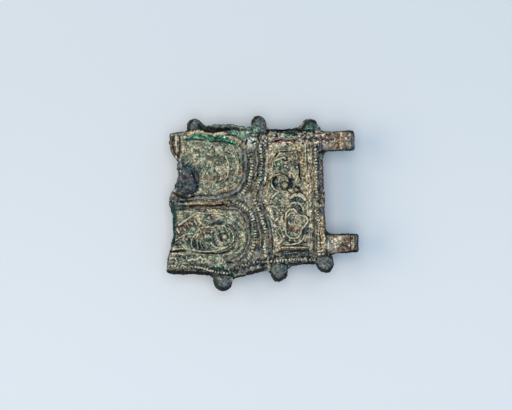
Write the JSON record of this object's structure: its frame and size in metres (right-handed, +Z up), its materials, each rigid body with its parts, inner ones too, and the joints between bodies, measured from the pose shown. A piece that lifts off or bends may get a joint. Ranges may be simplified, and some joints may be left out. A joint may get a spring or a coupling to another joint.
{
  "type": "buckle shank",
  "caption": "Ornamented cast strap plate of a belt buckle, with engraved bezels, beaded mouldings, edge lobes, hinge lugs and strap loops at the back.",
  "frame": {"origin": "middle of the plan, at the level of the feet of the strap loops", "axes": "+X along the strap towards the hinge lugs, +Y across the strap, +Z up out of the ornamented face"},
  "size_m": [0.0464, 0.0414, 0.009],
  "materials": {
    "field_patina": "olive and tan patina, worn and pitted",
    "roll_patina": "dark grey-brown patina, softly rubbed",
    "bead_patina": "tan wear on the crests and dark dirt in the grooves",
    "dark_patina": "blue-black patina",
    "tan_patina": "tan wear with malachite beside it",
    "lug_patina": "brown-grey patina with sandy deposits",
    "corrosion": "hard dark corrosion with green spots"
  },
  "bodies": {
    "root": {"base_plate": "dark_patina", "lobe_upper_end": "dark_patina", "lobe_upper_middle": "dark_patina", "lobe_upper_hinge": "dark_patina", "lobe_lower_hinge": "dark_patina", "lobe_lower_middle": "dark_patina", "lobe_lower_end": "dark_patina", "hinge_side_rim": "dark_patina", "hinge_side_beads": "bead_patina", "hinge_side_roll": "roll_patina", "divider_roll": "roll_patina", "divider_beads": "bead_patina", "inner_roll_upper": "roll_patina", "inner_roll_lower": "roll_patina", "upper_bezel_rim": "tan_patina", "upper_bezel_roll": "roll_patina", "upper_bezel_beads": "bead_patina", "upper_bezel_field": "field_patina", "lower_bezel_roll": "roll_patina", "lower_bezel_beads": "bead_patina", "lower_bezel_field": "field_patina", "middle_rib": "tan_patina", "upper_border_roll": "roll_patina", "upper_border_beads": "bead_patina", "lower_border_roll": "roll_patina", "lower_border_beads": "bead_patina", "foot_beads": "bead_patina", "foot_scroll_band": "field_patina", "end_rim": "dark_patina", "strip_field": "field_patina", "corrosion_lump": "corrosion", "hinge_lug_upper": "lug_patina", "hinge_lug_lower": "lug_patina", "strap_loop_end": "dark_patina", "strap_loop_upper": "dark_patina", "strap_loop_lower": "dark_patina"}
  },
  "joints": []
}
